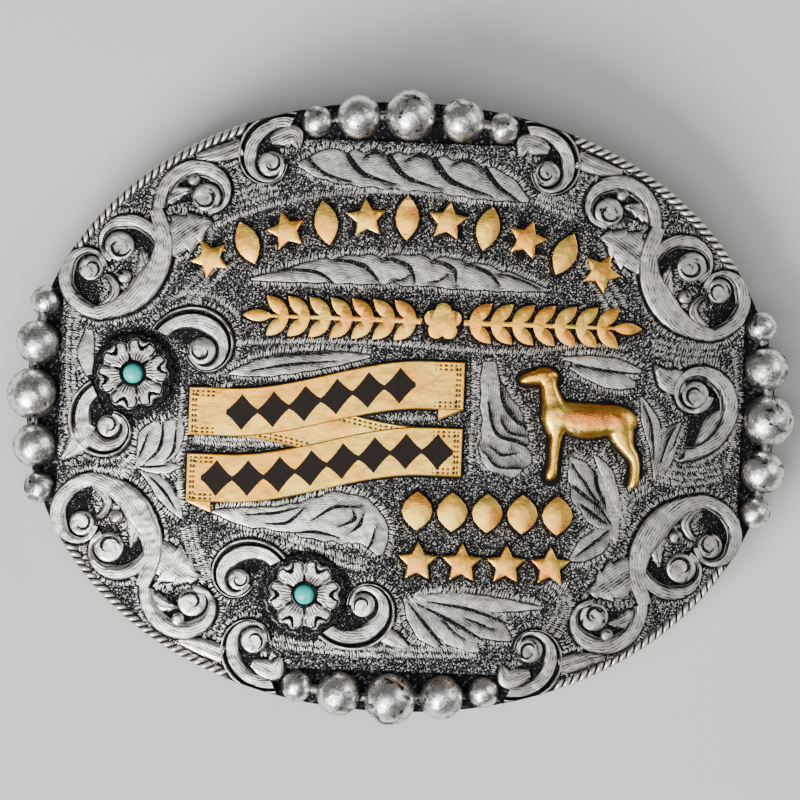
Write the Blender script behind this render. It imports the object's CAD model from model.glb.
"""Dresses the western trophy buckle: cast silver scrolls, engraved leaves, beads, ropes, flowers,
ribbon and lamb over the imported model, with their finishes, a plain stage and a camera."""

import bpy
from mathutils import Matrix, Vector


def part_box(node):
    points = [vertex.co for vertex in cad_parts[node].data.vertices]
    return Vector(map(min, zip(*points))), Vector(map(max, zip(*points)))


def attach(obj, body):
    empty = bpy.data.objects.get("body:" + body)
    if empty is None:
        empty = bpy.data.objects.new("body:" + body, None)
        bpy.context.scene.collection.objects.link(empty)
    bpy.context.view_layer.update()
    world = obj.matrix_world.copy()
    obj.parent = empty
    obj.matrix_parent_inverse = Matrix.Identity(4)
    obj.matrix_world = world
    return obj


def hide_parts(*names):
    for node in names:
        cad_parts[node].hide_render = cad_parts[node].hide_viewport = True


bl_info = {
    "name": "Trophy Buckle Dressing",
    "version": (1, 0, 0),
    "blender": (4, 5, 0),
    "location": "3D View > Sidebar > Buckle",
    "description": "Builds the cast, engraved and plated pieces of a western trophy buckle",
    "category": "Object",
}

import math

import bpy
import numpy as np
from bpy.props import FloatProperty, FloatVectorProperty, PointerProperty

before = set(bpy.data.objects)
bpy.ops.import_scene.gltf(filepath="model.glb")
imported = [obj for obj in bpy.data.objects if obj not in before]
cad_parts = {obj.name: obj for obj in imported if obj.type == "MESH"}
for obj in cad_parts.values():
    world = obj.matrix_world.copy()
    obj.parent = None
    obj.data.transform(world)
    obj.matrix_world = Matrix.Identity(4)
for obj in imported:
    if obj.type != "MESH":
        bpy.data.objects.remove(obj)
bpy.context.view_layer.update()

# Sizes in millimetres. The plate's own come from the frame, the bend's from the construction.
MM = 0.001
PLATE_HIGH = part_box("base_plate")[1]
HALF_W, HALF_H = PLATE_HIGH[0] / MM, PLATE_HIGH[1] / MM
SQUARE = 2.1  # power of the plate's outline, where 2 would be an ellipse
FIELD_R = 238.2  # radius of the bent field
AXIS_Z = PLATE_HIGH[2] / MM - FIELD_R  # height of the bend's axis
FLANGE = -0.8  # height of the flange against the field
FLANGE_R = FIELD_R + FLANGE
FIELD_W, FIELD_H = HALF_W - 4.9, HALF_H - 5.8  # half sizes of the field inside the flange
SEAT = 0.05  # gap under the beads and ropes
SINK = 0.3  # depth of a casting's underside in the field
LINE_H = 0.05  # height of the black lines round castings and ornaments


def from_centre(share_x, share_y):
    """A place on the face from its shares of half the plate's width and height."""
    return np.array([share_x * HALF_W, share_y * HALF_H])


CORNER_AT = from_centre(0.706, 0.573)
SHOULDER_AT = from_centre(0.366, 0.782)
SIDE_AT = from_centre(0.781, 0.076)
FLOWER_LEFT_AT = from_centre(-0.712, 0.078)
FLOWER_LOW_AT = from_centre(-0.236, -0.626)
RIBBON_AT = from_centre(-0.197, -0.09)
LAMB_AT = from_centre(0.483, -0.034)
ARCH_AT = from_centre(0, 0.62)
LAUREL_AT = from_centre(0.104, 0.284)
LOZENGES_AT = from_centre(0.24, -0.338)
STARS_AT = from_centre(0.236, -0.506)
CORNER_SIZE, SCROLL_SIZE = 25.0, 10.0
QUARTERS = {"upper_left": (-1, 1), "upper_right": (1, 1), "lower_left": (-1, -1), "lower_right": (1, -1)}

# Scrolls, as in the construction: the eye's place and radius, the angle at which the band leaves
# it, the angle that it turns through, its outer radius at the start and the end, the power that it
# grows by and its width, with lengths as shares of the casting's size
CORNER_SCROLLS = [
    (0.276, -0.268, 0.07, 170, -275, 0.098, 0.305, 2.0, 0.078),
    (0.116, -0.136, 0.084, -60, 252, 0.108, 0.3, 2.0, 0.07),
    (-0.372, 0.16, 0.08, -98, -278, 0.1, 0.318, 1.5, 0.082),
]
SHOULDER_SCROLL = (0, 0, 0.18, 180, 295, 0.235, 0.82, 2, 0.22)
SIDE_SCROLL = (0, 0, 0.19, -8, -450, 0.27, 0.97, 3, 0.18)
SPRAY_LEFT_UPPER = (0.98, 0.36, 0.19, 202, 316, 0.25, 0.79, 1.6, 0.235)
SPRAY_LEFT_LOWER = (-0.32, -0.76, 0.16, 72, -318, 0.22, 0.7, 1.15, 0.23)
SPRAY_LOW_LEFT = (-0.94, 0.18, 0.15, -25, -308, 0.22, 0.74, 1.7, 0.23)
SPRAY_LOW_RIGHT = (0.84, -0.12, 0.17, 180, -323, 0.23, 0.78, 1.6, 0.24)

# Leaves and stems: a row for each section, with its middle and its width
CORNER_STEM = [
    (0.241, -0.523, 0.076), (0.129, -0.495, 0.1), (0.025, -0.431, 0.138), (-0.055, -0.335, 0.156),
    (-0.117, -0.223, 0.13), (-0.135, -0.099, 0.106), (-0.115, -0.007, 0.094), (-0.083, 0.081, 0.082),
]
CORNER_LEAVES = [
    [(-0.06, -0.392, 0.064), (-0.024, -0.312, 0.096), (-0.028, -0.232, 0.092), (-0.008, -0.14, 0.016)],
    [(0.216, -0.484, 0.036), (0.152, -0.436, 0.052), (0.132, -0.376, 0.048), (0.164, -0.32, 0.036),
     (0.196, -0.304, 0.016)],
    [(-0.096, 0.12, 0.08), (-0.164, 0.164, 0.108), (-0.228, 0.188, 0.072), (-0.288, 0.196, 0.016)],
    [(-0.146, -0.112, 0.17), (-0.23, -0.06, 0.235), (-0.304, -0.02, 0.195), (-0.366, 0.008, 0.1),
     (-0.416, 0.008, 0.012)],
    [(-0.304, 0.388, 0.03), (-0.384, 0.4, 0.075), (-0.456, 0.418, 0.095), (-0.56, 0.452, 0.1)],
]
CORNER_TEETH = (5, 0, 4, 4, 0)
CORNER_KNOBS = [(0.08, -0.312, 0.04), (-0.296, 0.26, 0.038)]
SHOULDER_LEAF = [(0.01, 0.33, 0.12), (-0.15, 0.39, 0.26), (-0.31, 0.41, 0.28), (-0.39, 0.23, 0.06)]
SIDE_LEAVES = [
    [(0.49, -0.17, 0.12), (0.35, -0.43, 0.4), (0.21, -0.66, 0.34), (0.03, -0.85, 0.16),
     (-0.18, -0.96, 0.03)],
    [(-0.59, 0.4, 0.03), (-0.51, 0.3, 0.16), (-0.41, 0.21, 0.32), (-0.27, 0.17, 0.36), (-0.16, 0.19, 0.3)],
]
SPRAY_LOWER_LEAF = [(-0.64, -0.74, 0.26), (-0.74, -0.98, 0.34), (-0.86, -1.14, 0.2), (-0.99, -1.27, 0.03)]
SPRAY_RIGHT_LEAF = [(1.17, -0.53, 0.24), (1.34, -0.62, 0.19), (1.54, -0.74, 0.03)]

# The lamb: a row for each section with its middle, its width and its height, as shares of its length
LAMB_PARTS = [
    [(-0.235, 0.07, 0.17, 0.055), (-0.2, 0.06, 0.24, 0.072), (-0.11, 0.05, 0.25, 0.078),
     (0.03, 0.026, 0.285, 0.082), (0.17, 0.036, 0.262, 0.082), (0.29, 0.04, 0.235, 0.078),
     (0.36, 0.03, 0.17, 0.06), (0.39, 0.015, 0.09, 0.035)],
    [(-0.2, -0.03, 0.18, 0.06), (-0.21, 0.07, 0.22, 0.074), (-0.238, 0.17, 0.17, 0.07),
     (-0.266, 0.27, 0.135, 0.066), (-0.276, 0.34, 0.135, 0.066), (-0.285, 0.38, 0.1, 0.055)],
    [(-0.25, 0.372, 0.1, 0.055), (-0.31, 0.37, 0.145, 0.07), (-0.375, 0.358, 0.125, 0.064),
     (-0.44, 0.345, 0.1, 0.056), (-0.472, 0.338, 0.072, 0.044)],
    [(-0.265, 0.395, 0.045, 0.066), (-0.235, 0.38, 0.06, 0.062), (-0.212, 0.352, 0.03, 0.035)],
    [(-0.2, 0.0, 0.15, 0.062), (-0.2, -0.09, 0.11, 0.058), (-0.208, -0.19, 0.09, 0.052),
     (-0.214, -0.31, 0.076, 0.048), (-0.226, -0.4, 0.095, 0.046), (-0.236, -0.425, 0.07, 0.03)],
    [(0.3, 0.01, 0.23, 0.078), (0.325, -0.08, 0.19, 0.072), (0.364, -0.17, 0.122, 0.062),
     (0.42, -0.25, 0.09, 0.056), (0.438, -0.34, 0.08, 0.052), (0.43, -0.45, 0.084, 0.046),
     (0.424, -0.475, 0.06, 0.03)],
]

# Engraved leaves on the ground, in millimetres: the middle and the width of each section
FIELD_LEAVES = {
    "top": [
        [(-15.8, 34.1, 0.5), (-13, 34.2, 3.4), (-9, 34, 4.6), (-3, 33.7, 4.8), (4, 33.4, 4.8),
         (10, 32.6, 4.6), (14, 31.6, 3.2), (17.2, 30.1, 0.4)],
    ],
    "middle": [
        [(-22, 17.5, 0.3), (-17, 18.2, 1.7), (-10, 19.2, 3.4), (0, 19.5, 4), (8, 19.2, 3.8),
         (14, 18.5, 2.7), (20.2, 17.5, 0.4)],
    ],
    "above_ribbon": [
        [(-24.6, 3.9, 0.3), (-20, 4.9, 2.4), (-14, 5.9, 2.5), (-9, 6.6, 1.7), (-4.6, 7.1, 0.3)],
    ],
    "beside_ribbon": [
        [(12.4, 6.9, 1.6), (12.7, 4, 2.6), (13.6, 1, 4.2), (14.7, -2, 5.8), (15.1, -5, 6.8),
         (15, -7.4, 6.4), (14.6, -9, 3.4)],
    ],
    "above_lamb": [
        [(23, 7.8, 0.3), (27, 7.5, 1.4), (31, 7, 1.6), (34.2, 6.3, 0.5)],
        [(24, 6.5, 0.3), (27, 5.9, 2), (30.5, 5, 2.5), (33.4, 4.4, 0.8)],
    ],
    "below_lamb": [
        [(24.6, -6.3, 0.3), (25.6, -8, 2.8), (27.2, -10.8, 5), (29, -13.6, 4.6), (30.6, -16, 2.6),
         (31.6, -18, 0.6)],
        [(31, -15.6, 0.5), (29.6, -17.4, 2.6), (27.8, -19, 3), (26.2, -20.2, 2), (25, -21, 0.3)],
        [(28, -5.9, 0.3), (29.8, -8.4, 1.5), (31, -11.6, 1.3), (32.2, -14.6, 0.3)],
    ],
    "right_stems": [
        [(34.4, 2.6, 0.4), (35.7, -0.6, 2.1), (36.7, -4.2, 1.7), (36.8, -9, 0.3)],
        [(40.2, -0.8, 0.3), (38.9, -2.4, 1.7), (37.9, -5.2, 1.3), (37.3, -7.6, 0.3)],
        [(39.6, -4.2, 0.3), (38.8, -6, 0.9), (37.6, -8.6, 0.3)],
    ],
    "below_ribbon": [
        [(-26.3, -15.9, 0.4), (-21.6, -16.5, 2.4), (-16.8, -16.6, 3.2), (-12.6, -16.6, 5),
         (-8.2, -16.2, 6.6), (-4.8, -17, 5.8), (-2.9, -19, 3.6), (-2.2, -21.2, 0.8)],
    ],
    "bottom_fan": [
        [(1.6, -27.4, 0.4), (3.2, -29.6, 2.4), (5, -32, 2.8), (6.6, -34.2, 0.4)],
        [(2.4, -27.3, 0.4), (5.4, -29.3, 3), (8.6, -31.6, 4), (11.2, -33.6, 2), (12.4, -34.5, 0.4)],
        [(3, -27, 0.4), (7, -28.2, 2.8), (11.4, -29.9, 4), (15, -31.6, 2.6), (17, -32.7, 0.4)],
        [(4, -26.9, 0.3), (9, -27.2, 1.7), (15, -27.8, 1.8), (21.2, -28, 0.3)],
    ],
    "left": [
        [(-37.4, -9.5, 0.4), (-36.6, -7.6, 1.8), (-35.8, -5.6, 2.6), (-35, -4, 1.6), (-34.6, -3.2, 0.3)],
        [(-37, -9.6, 0.5), (-35.2, -8, 2.2), (-33.9, -6, 2.9), (-33, -4.2, 2.2), (-32.4, -2.9, 0.4)],
        [(-36.2, -9.7, 0.5), (-33.8, -8.6, 1.8), (-32.2, -6.6, 1.8), (-31.5, -4.6, 1.3), (-31.4, -2.6, 0.3)],
        [(-37.2, -10, 0.3), (-35, -10.2, 1.1), (-33, -9.9, 1.5), (-31.4, -9.7, 0.3)],
        [(-36.6, -10.8, 0.4), (-34.6, -12, 2), (-32.8, -14, 2.4), (-31.4, -16, 1.2), (-30.8, -17, 0.3)],
        [(-45, 9.4, 1), (-45.4, 6, 2.2), (-44.8, 3, 0.8)],
    ],
}

# Dark cuts in the engraved leaves
FIELD_CUTS = {
    "top": [
        [(-14.5, 35.4, 0.12), (-13.4, 34, 0.34), (-11.6, 32.8, 0.36), (-8.4, 32, 0.1)],
        [(-8.9, 36.1, 0.3), (-8.2, 34.8, 0.62), (-6.2, 33, 0.5), (-1.8, 31.8, 0.08)],
        [(-2.9, 36.2, 0.4), (-2.4, 34.9, 0.74), (-0.2, 32.8, 0.5), (4.6, 31.4, 0.08)],
        [(3.6, 36, 0.4), (4, 34.7, 0.78), (6.4, 32.4, 0.54), (12, 30.6, 0.08)],
        [(10.8, 34.9, 0.25), (11.5, 33.6, 0.56), (13, 31.9, 0.44), (16.3, 29.8, 0.08)],
        [(-6.6, 35.7, 0.06), (-5.2, 36.1, 0.24), (-3.6, 35.9, 0.06)],
        [(-0.6, 35.3, 0.06), (1, 35.9, 0.24), (2.9, 35.7, 0.06)],
        [(6, 35, 0.06), (7.8, 35.4, 0.24), (10.2, 34.6, 0.06)],
    ],
    "middle": [
        [(-18.4, 19, 0.12), (-13, 18.9, 0.42), (-10.2, 17.4, 0.1)],
        [(-10.4, 20.8, 0.12), (-6, 20, 0.5), (-3.5, 17.5, 0.1)],
        [(-3.4, 21.3, 0.12), (0.3, 20.2, 0.5), (1.5, 17.8, 0.1)],
        [(3.8, 21.2, 0.12), (6.8, 20, 0.5), (7.3, 17.9, 0.1)],
        [(8.8, 20.9, 0.12), (12, 19.5, 0.44), (13.7, 17.7, 0.1)],
        [(-1.8, 17.9, 0.06), (-0.4, 18.2, 0.22), (0.6, 18.9, 0.06)],
        [(3.6, 18, 0.06), (5, 18.3, 0.22), (5.9, 19.1, 0.06)],
        [(13.4, 19.6, 0.12), (16.5, 18.8, 0.25), (19, 17.8, 0.1)],
    ],
    "above_ribbon": [
        [(-22, 5.9, 0.1), (-16, 6.9, 0.3), (-10.4, 7.3, 0.1)],
        [(-21.5, 4.4, 0.1), (-16, 5.5, 0.3), (-9.5, 6.2, 0.1)],
    ],
    "beside_ribbon": [
        [(18.4, -5, 0.24), (16.8, -4.3, 0.42), (14.2, -3.6, 0.36), (13, -1.4, 0.3), (12.6, 1.2, 0.1)],
        [(18.2, -2.4, 0.24), (16.2, -1, 0.4), (14.6, 1.4, 0.4), (14, 5, 0.1)],
        [(17.9, -3.6, 0.1), (15.6, -3, 0.3), (14.4, -1.4, 0.1)],
        [(17.6, -8.2, 0.1), (14.2, -8, 0.3), (12.3, -6.2, 0.1)],
        [(16.6, -6.1, 0.1), (14.6, -6.3, 0.34), (13.2, -5.2, 0.1)],
    ],
    "above_lamb": [[(24.6, 6.9, 0.1), (29, 6.3, 0.28), (33.8, 5.9, 0.1)]],
    "below_lamb": [
        [(24.9, -7.4, 0.1), (27.5, -11, 0.3), (30.6, -15.6, 0.1)],
        [(25, -10.4, 0.2), (26.5, -11.5, 0.42), (28.7, -13.2, 0.1)],
        [(26.4, -13.2, 0.2), (27.9, -14.2, 0.42), (30, -15.6, 0.1)],
        [(28.1, -8, 0.2), (28.5, -10.2, 0.42), (29.8, -13.2, 0.1)],
        [(26, -20.2, 0.1), (28, -18.7, 0.3), (30.2, -16.7, 0.1)],
    ],
    "right_stems": [
        [(34.9, 1.4, 0.1), (36, -1.4, 0.26), (36.6, -6, 0.1)],
        [(39.4, -1.6, 0.1), (38.4, -3.6, 0.24), (37.6, -6.4, 0.1)],
    ],
    "below_ribbon": [
        [(-21.6, -16.2, 0.1), (-17.4, -15.8, 0.34), (-14, -14.9, 0.1)],
        [(-18.7, -17.4, 0.1), (-15.9, -17.2, 0.36), (-14.4, -16.2, 0.34), (-13.3, -15, 0.1)],
        [(-12.2, -16.8, 0.1), (-8.9, -14.7, 0.34), (-5.1, -14.6, 0.1)],
        [(-14.7, -18.6, 0.1), (-11.5, -18.3, 0.36), (-8, -19, 0.1)],
        [(-6.3, -15, 0.1), (-6, -16.3, 0.44), (-8.1, -17.4, 0.1)],
        [(-4.7, -15.5, 0.1), (-5.2, -17, 0.44), (-6.4, -18.2, 0.1)],
        [(-4.2, -20.8, 0.1), (-3.4, -19.4, 0.3), (-3, -17.4, 0.1)],
    ],
    "bottom_fan": [
        [(2.2, -28, 0.1), (4.9, -31.2, 0.4), (7.4, -34, 0.12)],
        [(3.4, -28, 0.1), (8.4, -30.4, 0.4), (13.8, -33.4, 0.12)],
        [(5, -27.7, 0.1), (11, -28.6, 0.36), (17, -30.6, 0.12)],
        [(7.2, -30.4, 0.08), (8.6, -31.7, 0.2), (10.2, -32.8, 0.08)],
        [(10.4, -29.8, 0.08), (12.4, -30.6, 0.2), (14.4, -31.3, 0.08)],
    ],
    "left": [
        [(-37.2, -8.6, 0.1), (-36.6, -7, 0.3), (-36, -5.2, 0.1)],
        [(-36.2, -9.3, 0.1), (-34.4, -7.4, 0.36), (-33.9, -5.4, 0.34), (-33.9, -3.4, 0.1)],
        [(-33.2, -8.8, 0.1), (-32.2, -7.2, 0.36), (-32, -4.4, 0.1)],
        [(-37, -10, 0.1), (-34.8, -9.8, 0.26), (-33, -9.6, 0.1)],
        [(-35.6, -11.2, 0.1), (-33.5, -13.2, 0.36), (-31.6, -15.8, 0.1)],
        [(-33.6, -11, 0.1), (-32.2, -12.2, 0.4), (-31.6, -14, 0.1)],
    ],
}

# Rows of bright cuts on the open ground: a line, and how far to either side the cuts stand
COMB_ROWS = [
    ([(-47.6, 13.5), (-48, 8), (-47.9, 2), (-47.4, -3)], (0.0, 0.9)),
    ([(47.4, 10), (48.1, 5), (48, -2), (47, -8)], (0.0,)),
    ([(35.5, 10.2), (40, 9.2), (45.5, 9.4)], (-0.9, 0.0, 0.9)),
    ([(36.8, -8), (41, -8.6), (46.6, -7.6)], (-1.0, 0.0, 1.0)),
    ([(-24, 8.3), (-15, 8.9), (-7, 9.1), (2, 8.9), (11, 8.4), (20, 8.8)], (0.0,)),
    ([(-29.6, -6), (-25, -6.2), (-20, -6.1), (-16.5, -5.8)], (0.0, 0.7)),
    ([(-2, -1.7), (2, -1.5), (5.4, -1.4)], (0.0,)),
    ([(-31.2, 2), (-31.4, -4), (-31.3, -12), (-31, -16)], (0.0,)),
    ([(10.3, 7.2), (10.4, 0), (10.3, -9.6)], (0.0,)),
    ([(-16.5, -19.9), (-13, -21), (-8, -22.6), (-4, -23.4)], (0.0, 0.9)),
    ([(-30, -18), (-28.6, -22), (-26.8, -26)], (-0.8, 0.0, 0.8)),
    ([(-17, -34.6), (-11, -35.2), (-4, -35.6), (3, -35.5), (12, -35.2)], (0.0, 0.9)),
    ([(-30, 23.5), (-24, 26.5), (-18, 28.6), (-10, 30.2), (0, 30.7), (10, 29.4)], (0.0,)),
    ([(-31, 14.2), (-28, 18), (-25, 21)], (-1.2, 0.0, 1.2)),
    ([(31, 14.5), (28.6, 18), (25.6, 21.5)], (-1.2, 0.0, 1.2)),
    ([(24.4, 28.6), (21.2, 29.8), (18.4, 31)], (-0.9, 0.0, 0.9)),
    ([(-24.4, 28.8), (-21.2, 30), (-18.4, 31)], (-0.9, 0.0, 0.9)),
    ([(22, -24), (24.5, -27), (23, -31), (19, -34.6)], (-0.9, 0.0, 0.9)),
    ([(32.4, -16), (33, -12), (36, -9.6)], (-0.8, 0.0, 0.8)),
    ([(-43.6, -11.6), (-40, -11), (-37.4, -8.6)], (-0.7, 0.0, 0.7)),
    ([(-29.4, 0.4), (-26.6, 1.8), (-24, 2.4)], (0.0,)),
    ([(-34, 13.9), (-30.4, 15.4), (-26.4, 14.4), (-23.2, 11.6)], (0.0,)),
    ([(17.6, 8.2), (21, 9), (26, 9.8), (32, 9.6)], (0.0,)),
]

# Beads: diameters from the middle of a row outwards, the gap between two, the gap to the field, how
# far the middle lies over the flange as a share of the diameter, and the wire through them
BEAD_SIZES = (7.5, 6.4, 4.6)
BEAD_GAP, SIDE_GAP, BEAD_LIFT, BEAD_WIRE = 0.45, 0.25, 0.12, 1.5
SIDES = {"top": (0, 1), "bottom": (0, -1), "left": (-1, 0), "right": (1, 0)}
# The rope: the length of a whole turn, and the angles of the outline between which it runs
ROPE_TWIST, ROPE_ENDS = 2.5, (28.5, 65)

# The ribbon's length, its bands' height, the way from one band to the next and how far each rises;
# the height share of what lies behind; the pitch of its stitches, their half width, how far their two
# rows lie inside the sides and the ends, and how far from an end the side rows go
RIBBON_L, RIBBON_H, RIBBON_PITCH, RIBBON_RISE = 39.2, 6.9, 9.5, 4.9
BEHIND = 0.55
STITCH, STITCH_HALF, SIDE_ROWS, END_ROWS, STITCHED_L = 0.75, 0.14, (0.55, 1.05), (0.6, 1.1), 4.2
LAMB_L, LAMB_CELLS = 18.0, 170

# Petals of the two rings: inner and outer radius, half width and height. The black disc under them
BACK_PETAL, FRONT_PETAL = (2.2, 6.1, 1.75, 0.75), (1.7, 5.3, 2.15, 1.5)
DISC_R, DISC_H = 6.7, 0.14
# The bezel's section: radius, height and share of tarnish of each point
BEZEL = np.array([(1.52, 0.3, 1), (1.56, 1.5, 1), (1.68, 1.66, 0.75), (1.82, 1.62, 0.9), (1.92, 1.4, 1),
                  (1.95, 1.1, 1), (2.3, 0.9, 1), (2.35, -0.3, 1), (1.52, -0.3, 1)])
# The arch's radius; the ways between ornaments in the arch and in the panel's rows; lengths and widths
# of the ornaments; the laurel's leaves to a side, their lean, the start of the first one, the branch's
# length and width, and the rosette's radius with its black line
ARCH_R, ARCH_PITCH, LOZENGE_PITCH, STAR_PITCH = 61, 5.8, 5.0, 6.3
STAR, ARCH_LEAF, LOZENGE = 6, (6.4, 3.4), (5.6, 4.4)
LAUREL_LEAVES, LAUREL_LEAN, LAUREL_START = 7, math.radians(42), 2.95
LAUREL_L, LAUREL_W, ROSETTE_R = 25.6, 5.8, 3.1

# Where in the plan the silver is rubbed brightest
BRIGHTEST_AT = (-42.0, -38.0)
# Lamps: name, place, width, depth and power. The first one hangs level, the others turn to the middle
LAMPS = (("overhead", (-0.34, -0.4, 1.7), 1.7, 0.9, 17.2), ("key", (-0.45, -0.6, 0.6), 0.5, 0.5, 16.5),
         ("side", (0.75, 0.25, 0.5), 0.6, 0.6, 3.0))
SKY, SKY_STRENGTH = (0.78, 0.79, 0.8, 1), 0.18
# The camera's place in metres, its turn in degrees and its lens in millimetres on a 36 mm sensor
CAMERA_AT, CAMERA_TURN, LENS = (-0.0001, 0.001, 1.2), 2.1, 373.5


def on_face(x, y, h):
    """Bends a plan point onto the face. The turn about the bend's axis is the arc whose sine is x
    over the field's radius, and the point lies h above the field on that turn, in metres."""
    turn = np.arcsin(np.clip(x / FIELD_R, -1, 1))
    r = FIELD_R + h
    return np.stack([np.sin(turn) * r, y + 0 * turn, AXIS_Z + np.cos(turn) * r], -1) * MM


def through(rows, steps=9):
    """A smooth curve through the rows: between two rows each column is the cubic whose slope at a
    row is half the step from the row before it to the row after it."""
    p = np.asarray(rows, float)
    i = np.append(np.repeat(np.arange(len(p) - 1), steps), len(p) - 2)
    t = np.append(np.tile(np.arange(steps) / steps, len(p) - 1), 1.0)[:, None]
    a, b, c, d = p[np.maximum(i - 1, 0)], p[i], p[i + 1], p[np.minimum(i + 2, len(p) - 1)]
    return 0.5 * (2 * b + (c - a) * t + (2 * a - 5 * b + 4 * c - d) * t**2 + (3 * b - a - 3 * c + d) * t**3)


def unit(vectors, least=0.0):
    """Vectors over their lengths, or over the least length where they are shorter."""
    return vectors / np.maximum(np.linalg.norm(vectors, axis=-1, keepdims=True), least)


def across(path):
    """Unit vectors to the left of a plan path: its direction turned by a quarter."""
    d = unit(np.gradient(path[:, :2], axis=0), 1e-9)
    return np.stack([-d[:, 1], d[:, 0]], 1)


def along(path):
    """Distance from a path's start to each of its points."""
    return np.append(0, np.cumsum(np.linalg.norm(np.diff(path, axis=0), axis=1)))


def halves(left, right):
    """The line midway between two edges, and the way from it to the left one."""
    return (left + right) / 2, (left - right) / 2


def smooth(a, b, t):
    """0 below a, 1 above b, and a cubic ease between them."""
    t = np.clip((t - a) / (b - a), 0, 1)
    return t * t * (3 - 2 * t)


def circle(n):
    """Angles that divide a full turn evenly."""
    return np.linspace(0, 2 * math.pi, n, endpoint=False)


def bell(distance, width):
    """1 at no distance, and e to the minus square of the distance over the width elsewhere."""
    return np.exp(-((distance / width) ** 2))


def scroll_edges(q, size, at, flip, wide):
    """Outer and inner edge of a scroll's band. The angle runs from its start through its sweep; the
    outer radius is the first radius plus the growth times the share of the sweep to its power. The
    inner one lies the band's width within it, but never within the eye's groove, which opens from
    nothing where the band leaves the eye."""
    x, y, eye_r, start, sweep, first, last, power, band = q
    s = np.linspace(0, 1, int(abs(sweep) / 5) + 2)
    a = np.radians(start + s * sweep)
    outer = first + (last - first) * s**power
    groove = eye_r * (0.7 + 0.3 * smooth(0.06, 0.22, s)) + 0.35 / size * smooth(0.1, 0.3, s)
    swell = 1 + (wide - 1) * smooth(0.15, 0.55, s) * (1 - 0.7 * smooth(0.82, 1.0, s))
    inner = np.maximum(groove, outer - band * swell)
    ray = np.stack([np.cos(a), np.sin(a)], 1)
    eye = np.array([x, y]) * size
    return [(at + eye + ray * (r[:, None] * size)) * np.array(flip) for r in (outer, inner)]


def leaf_edges(rows, steps, size=1.0, at=(0, 0), flip=(1, 1)):
    """Left and right edge of a leaf or stem: half of each section's width to either side of the
    smooth curve through the sections' middles."""
    c = through(np.asarray(rows, float) * size, steps)
    n = across(c) * (c[:, 2:3] / 2)
    return [(np.asarray(at) + c[:, :2] + side * n) * np.array(flip) for side in (1, -1)]


def crown(v):
    """The root of one minus the square of the place across."""
    return np.sqrt(np.clip(1 - v * v, 0, 1))


def crowned(v):
    """Height share of a cast band, and its tarnish: 0.92 and a crown of 0.06 (1 - v squared), 0.2 less
    at the filed edges and 0.12 less on a dark line inside the inner edge."""
    edge = smooth(1.0, 0.84, np.abs(v))
    line = smooth(-0.94, -0.8, v) * smooth(-0.4, -0.62, v)
    dark = 0.6 * (1 - smooth(1.0, 0.9, np.abs(v))) + 0.5 * line
    return 0.72 + 0.2 * edge + 0.06 * (1 - v * v) - 0.12 * line, dark


def smooth_top(v):
    """Height share of a stem, and its tarnish: 0.94 and a crown of 0.06 (1 - v squared), 0.2 less at
    the filed edges."""
    edge = smooth(1.0, 0.86, np.abs(v))
    return 0.74 + 0.2 * edge + 0.06 * (1 - v * v), 0.6 * (1 - smooth(1.0, 0.92, np.abs(v)))


def rimmed(v):
    """Height share of a band and its tarnish: 0.3, with 0.56 more over its body and 0.66 more over the
    raised rim along its outer edge, and a dark groove between them."""
    groove = smooth(0.36, 0.47, v) * smooth(0.74, 0.64, v)
    rim = smooth(0.62, 0.76, v) * smooth(1.12, 0.9, v)
    body = smooth(-1.1, -0.7, v) * smooth(0.56, 0.3, v)
    return 0.3 + 0.56 * body + 0.66 * rim, np.clip(groove + 0.7 * (1 - smooth(-1.0, -0.86, v)), 0, 1)


def veined(v):
    """Height share of a leaf, and its tarnish: 0.66 and 0.34 times a crown, less a dark vein."""
    vein = bell(v, 0.13)
    return 0.66 + 0.34 * crown(v) - 0.26 * vein, np.clip(0.8 * vein, 0, 1)


def flat(v):
    """Height share of a flat strip, all of it dark."""
    return 1 + 0 * v, 1 + 0 * v


# Columns across a strip, from its right edge to its left one
PLAIN = np.array([-1, -0.94, -0.82, -0.62, -0.4, -0.14, 0.14, 0.4, 0.62, 0.82, 0.94, 1])
RIMMED = np.array([-1, -0.92, -0.8, -0.5, -0.2, 0.1, 0.3, 0.38, 0.46, 0.56, 0.64, 0.7, 0.8, 0.9, 0.97, 1])
COLUMNS = {rimmed: RIMMED, flat: np.array([-1.0, 0, 1])}


def within(x, y, inset):
    """Pulls points that lie outside the plate's outline, moved in by the inset, back onto it. Outside
    means that the sum of the shares of the half axes, each to the outline's power, is over 1."""
    f = (np.abs(x) / (HALF_W - inset)) ** SQUARE + (np.abs(y) / (HALF_H - inset)) ** SQUARE
    k = np.maximum(f, 1) ** (-1 / SQUARE)
    return x * k, y * k


def ground(x, y):
    """Height of a casting's underside: a little inside the field, and down to the flange beyond it."""
    return np.where((np.abs(x) > FIELD_W) | (np.abs(y) > FIELD_H), FLANGE - 0.1, -SINK)


def turned(at, x, y, turn):
    """Plan coordinates of a shape that is turned about its own centre and moved to its place."""
    c, k = math.cos(turn), math.sin(turn)
    return at[0] + x * c - y * k, at[1] + x * k + y * c


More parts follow.
